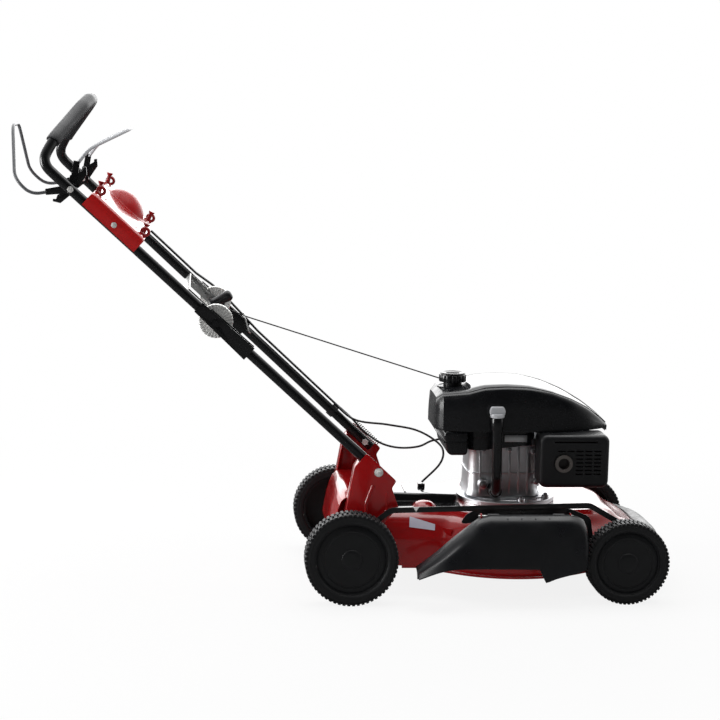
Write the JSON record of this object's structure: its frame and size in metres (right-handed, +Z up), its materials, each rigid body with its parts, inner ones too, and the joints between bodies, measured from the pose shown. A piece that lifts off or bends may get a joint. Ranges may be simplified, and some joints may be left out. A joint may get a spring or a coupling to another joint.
{
  "type": "petrol lawn mower",
  "caption": "Walk-behind petrol lawn mower with a pressed steel deck, side discharge, driven rear wheels, height lever and a folding tube handle with control bails.",
  "frame": {"origin": "on the ground, at the middle of the machine's footprint box", "axes": "+X forwards, the way it is pushed; +Y to the operator's left; +Z up"},
  "size_m": [1.433, 0.5559, 1.0664],
  "materials": {
    "red_paint": "gloss",
    "black_paint": "gloss",
    "black_plastic": "satin",
    "rubber": "matte",
    "tyre_plastic": "matte",
    "foam": "matte foam",
    "zinc": "bright zinc plate",
    "steel": "satin",
    "aluminium": "cast satin",
    "red_plastic": "gloss",
    "grey_plastic": "satin",
    "gloss_black_plastic": "gloss"
  },
  "bodies": {
    "mower": {"deck_shell": "red_paint", "front_nose_guard": "black_plastic", "handle_bracket_left": "red_paint", "handle_bracket_right": "red_paint", "bracket_bolt_left": "zinc", "bracket_bolt_right": "zinc", "belt_cover": "black_paint", "gearbox": "aluminium", "rear_chute": "red_paint", "deflector_rod": "zinc", "flap_rod": "zinc", "lower_handle_left": "black_paint", "lower_handle_right": "black_paint", "fold_bolt_left": "zinc", "fold_bolt_right": "zinc", "sump_flange": "aluminium", "crankcase": "aluminium", "cylinder_head": "aluminium", "engine_cover": "gloss_black_plastic", "fuel_tank": "black_plastic", "dipstick_tube": "black_plastic", "muffler": "steel", "muffler_guard": "black_plastic", "air_filter": "black_plastic", "starter_rope": "rubber", "drive_cable": "rubber", "brake_cable": "rubber", "cable_clip": "black_plastic", "lift_spring": "zinc", "drive_belt": "rubber"},
    "rear_axle": {"rear_axle_cranks": "black_paint"},
    "front_axle": {"front_axle_cranks": "black_paint"},
    "height_link": {"height_link": "black_paint"},
    "rear_left_wheel": {"rear_left_rim": "black_plastic", "rear_left_tyre": "tyre_plastic"},
    "rear_right_wheel": {"rear_right_rim": "black_plastic", "rear_right_tyre": "tyre_plastic"},
    "front_left_wheel": {"front_left_rim": "black_plastic", "front_left_tyre": "tyre_plastic"},
    "front_right_wheel": {"front_right_rim": "black_plastic", "front_right_tyre": "tyre_plastic"},
    "engine_shaft": {"crankshaft": "steel", "blade_carrier": "steel", "blade_bolt": "zinc", "blade": "steel"},
    "gearbox_pulley": {"gearbox_pulley": "steel"},
    "drive_shaft": {"drive_shaft": "steel"},
    "rear_flap": {"rear_flap": "red_paint"},
    "side_deflector": {"side_deflector": "black_plastic"},
    "upper_handle": {"upper_handle": "black_paint", "grip_sleeve": "foam", "control_panel": "red_plastic", "lever_bolt_left": "zinc", "lever_bolt_right": "zinc"},
    "lock_lever": {"lock_lever": "zinc"},
    "drive_bail": {"drive_bail": "grey_plastic"},
    "brake_bail": {"brake_bail": "grey_plastic"},
    "fuel_cap": {"fuel_cap": "black_plastic"},
    "dipstick": {"dipstick": "grey_plastic"},
    "starter_grip": {"starter_grip": "black_plastic"}
  },
  "joints": [
    {"name": "rear_axle_height", "type": "hinge", "parent": "mower", "child": "rear_axle", "pos_m": [0.055, 0.027, 0.1], "axis": [0, 1, 0], "range_deg": [-25, 25]},
    {"name": "front_axle_height", "type": "hinge", "parent": "mower", "child": "front_axle", "pos_m": [0.651, 0.027, 0.09], "axis": [0, 1, 0], "range_deg": [-25, 25]},
    {"name": "height_link_turn", "type": "hinge", "parent": "rear_axle", "child": "height_link", "pos_m": [0.051, 0.027, 0.14], "axis": [0, 1, 0], "range_deg": [-25, 25]},
    {"name": "rear_left_wheel_spin", "type": "hinge", "parent": "rear_axle", "child": "rear_left_wheel", "pos_m": [0.01, 0.2595, 0.1], "axis": [0, 1, 0], "continuous": true},
    {"name": "rear_right_wheel_spin", "type": "hinge", "parent": "rear_axle", "child": "rear_right_wheel", "pos_m": [0.01, -0.2055, 0.1], "axis": [0, 1, 0], "continuous": true},
    {"name": "front_left_wheel_spin", "type": "hinge", "parent": "front_axle", "child": "front_left_wheel", "pos_m": [0.606, 0.2595, 0.09], "axis": [0, 1, 0], "continuous": true},
    {"name": "front_right_wheel_spin", "type": "hinge", "parent": "front_axle", "child": "front_right_wheel", "pos_m": [0.606, -0.2055, 0.09], "axis": [0, 1, 0], "continuous": true},
    {"name": "engine_shaft_spin", "type": "hinge", "parent": "mower", "child": "engine_shaft", "pos_m": [0.376, 0.027, 0.16], "axis": [0, 0, 1], "continuous": true},
    {"name": "gearbox_pulley_spin", "type": "hinge", "parent": "mower", "child": "gearbox_pulley", "pos_m": [0.055, 0.027, 0.163], "axis": [0, 0, 1], "continuous": true},
    {"name": "drive_shaft_spin", "type": "hinge", "parent": "mower", "child": "drive_shaft", "pos_m": [0.055, 0.027, 0.1], "axis": [0, 1, 0], "continuous": true},
    {"name": "rear_flap_hinge", "type": "hinge", "parent": "mower", "child": "rear_flap", "pos_m": [0.0465, 0.027, 0.2085], "axis": [0, 1, 0], "range_deg": [0, 80], "stiffness_Nm_per_rad": 0.25, "springref_deg": -28.65},
    {"name": "side_deflector_hinge", "type": "hinge", "parent": "mower", "child": "side_deflector", "pos_m": [0.31, -0.209, 0.1915], "axis": [1, 0, 0], "range_deg": [-75, 0], "stiffness_Nm_per_rad": 0.35, "springref_deg": 34.38},
    {"name": "handle_fold", "type": "hinge", "parent": "mower", "child": "upper_handle", "pos_m": [-0.28, 0.027, 0.598], "axis": [0, 1, 0], "range_deg": [0, 125], "deforming": ["drive_cable", "brake_cable"]},
    {"name": "lock_lever_turn", "type": "hinge", "parent": "upper_handle", "child": "lock_lever", "pos_m": [-0.28, 0.027, 0.598], "axis": [0, 1, 0], "range_deg": [0, 110]},
    {"name": "drive_bail_pull", "type": "hinge", "parent": "upper_handle", "child": "drive_bail", "pos_m": [-0.5786, 0.027, 0.87354], "axis": [0, 1, 0], "range_deg": [0, 40], "stiffness_Nm_per_rad": 0.5, "springref_deg": -17.19},
    {"name": "brake_bail_pull", "type": "hinge", "parent": "upper_handle", "child": "brake_bail", "pos_m": [-0.5786, 0.027, 0.87354], "axis": [0, 1, 0], "range_deg": [-28, 0], "stiffness_Nm_per_rad": 0.6, "springref_deg": 17.19},
    {"name": "fuel_cap_turn", "type": "hinge", "parent": "mower", "child": "fuel_cap", "pos_m": [0.25, 0.027, 0.45], "axis": [0, 0, 1], "range_deg": [0, 90]},
    {"name": "dipstick_pull", "type": "slide", "parent": "mower", "child": "dipstick", "axis": [0, 0, 1], "range_m": [0, 0.18]},
    {"name": "starter_pull", "type": "slide", "parent": "mower", "child": "starter_grip", "axis": [-0.3306, -0.0601, 0.9418], "range_m": [0, 0.6], "stiffness_N_per_m": 30, "springref_m": -0.2, "deforming": ["starter_rope"]}
  ],
  "couplings": [
    {"joint": "front_axle_height", "follows": "rear_axle_height", "ratio": 1},
    {"joint": "height_link_turn", "follows": "rear_axle_height", "ratio": -1},
    {"joint": "gearbox_pulley_spin", "follows": "engine_shaft_spin", "ratio": 0.6774},
    {"joint": "drive_shaft_spin", "follows": "engine_shaft_spin", "ratio": 0.0565}
  ]
}
